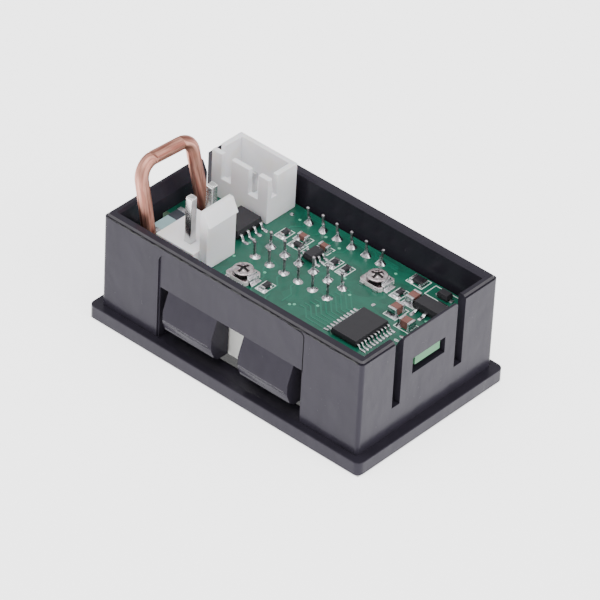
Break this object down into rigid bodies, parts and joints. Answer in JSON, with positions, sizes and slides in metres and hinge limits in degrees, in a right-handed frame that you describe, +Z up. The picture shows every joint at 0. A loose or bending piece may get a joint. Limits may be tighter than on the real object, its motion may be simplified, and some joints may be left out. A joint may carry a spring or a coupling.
{
  "type": "digital panel meter",
  "caption": "Snap-in panel meter for voltage and current, on its face, with its circuit board, shunt wire, plug headers and trimmers open at the back.",
  "frame": {"origin": "centre of the bezel's front face, which lies on the surface with the open back up", "axes": "+X along the long side towards the microcontroller end, +Y across to the side with the signal header, +Z up out of the open back"},
  "size_m": [0.0482, 0.029, 0.0249],
  "materials": {
    "housing_plastic": "satin moulded",
    "smoked_window": "polished, tinted",
    "board_laminate": "glossy resist over glass cloth",
    "display_plastic": "moulded",
    "segment_resin": "milky, unlit",
    "tinned_wire": "tinned",
    "tinned_pin": "tinned",
    "tinned_lead": "tinned",
    "solder": "bright solder",
    "shunt_copper": "dull bare copper",
    "header_nylon": "natural white nylon",
    "chip_epoxy": "moulded epoxy",
    "resistor_film": "glazed",
    "capacitor_ceramic": "fired ceramic",
    "trimmer_ceramic": "fired ceramic",
    "rotor_plastic": "moulded",
    "wiper_metal": "stamped, satin"
  },
  "bodies": {
    "meter": {"housing": "housing_plastic", "display_filter": "smoked_window", "circuit_board": "board_laminate", "voltage_display_case": "display_plastic", "voltage_display_segments": "segment_resin", "voltage_display_pins": "tinned_wire", "current_display_case": "display_plastic", "current_display_segments": "segment_resin", "current_display_pins": "tinned_wire", "display_pin_solder": "solder", "copper_shunt": "shunt_copper", "shunt_solder": "solder", "signal_header_pins": "tinned_pin", "signal_header_shell": "header_nylon", "power_header_pins": "tinned_pin", "power_header_shell": "header_nylon", "microcontroller_leads": "tinned_lead", "microcontroller_body": "chip_epoxy", "amplifier_leads": "tinned_lead", "amplifier_body": "chip_epoxy", "reference_leads": "tinned_lead", "reference_body": "chip_epoxy", "regulator_leads": "tinned_lead", "regulator_body": "chip_epoxy", "diode_leads": "tinned_lead", "diode_body": "chip_epoxy", "chip_resistors": "resistor_film", "chip_resistor_ends": "tinned_lead", "power_resistor": "resistor_film", "power_resistor_ends": "tinned_lead", "ceramic_capacitors": "capacitor_ceramic", "ceramic_capacitor_ends": "tinned_lead", "current_trimmer_base": "trimmer_ceramic", "current_trimmer_terminals": "tinned_lead", "voltage_trimmer_base": "trimmer_ceramic", "voltage_trimmer_terminals": "tinned_lead"},
    "current_rotor": {"current_trimmer_rotor": "rotor_plastic", "current_trimmer_wiper": "wiper_metal"},
    "voltage_rotor": {"voltage_trimmer_rotor": "rotor_plastic", "voltage_trimmer_wiper": "wiper_metal"}
  },
  "joints": [
    {"name": "current_trim", "type": "hinge", "parent": "meter", "child": "current_rotor", "pos_m": [-0.00456, -0.00583, 0.0135], "axis": [0, 0, 1], "range_deg": [-130, 130]},
    {"name": "voltage_trim", "type": "hinge", "parent": "meter", "child": "voltage_rotor", "pos_m": [0.00874, 0.00568, 0.0135], "axis": [0, 0, 1], "range_deg": [-130, 130]}
  ]
}
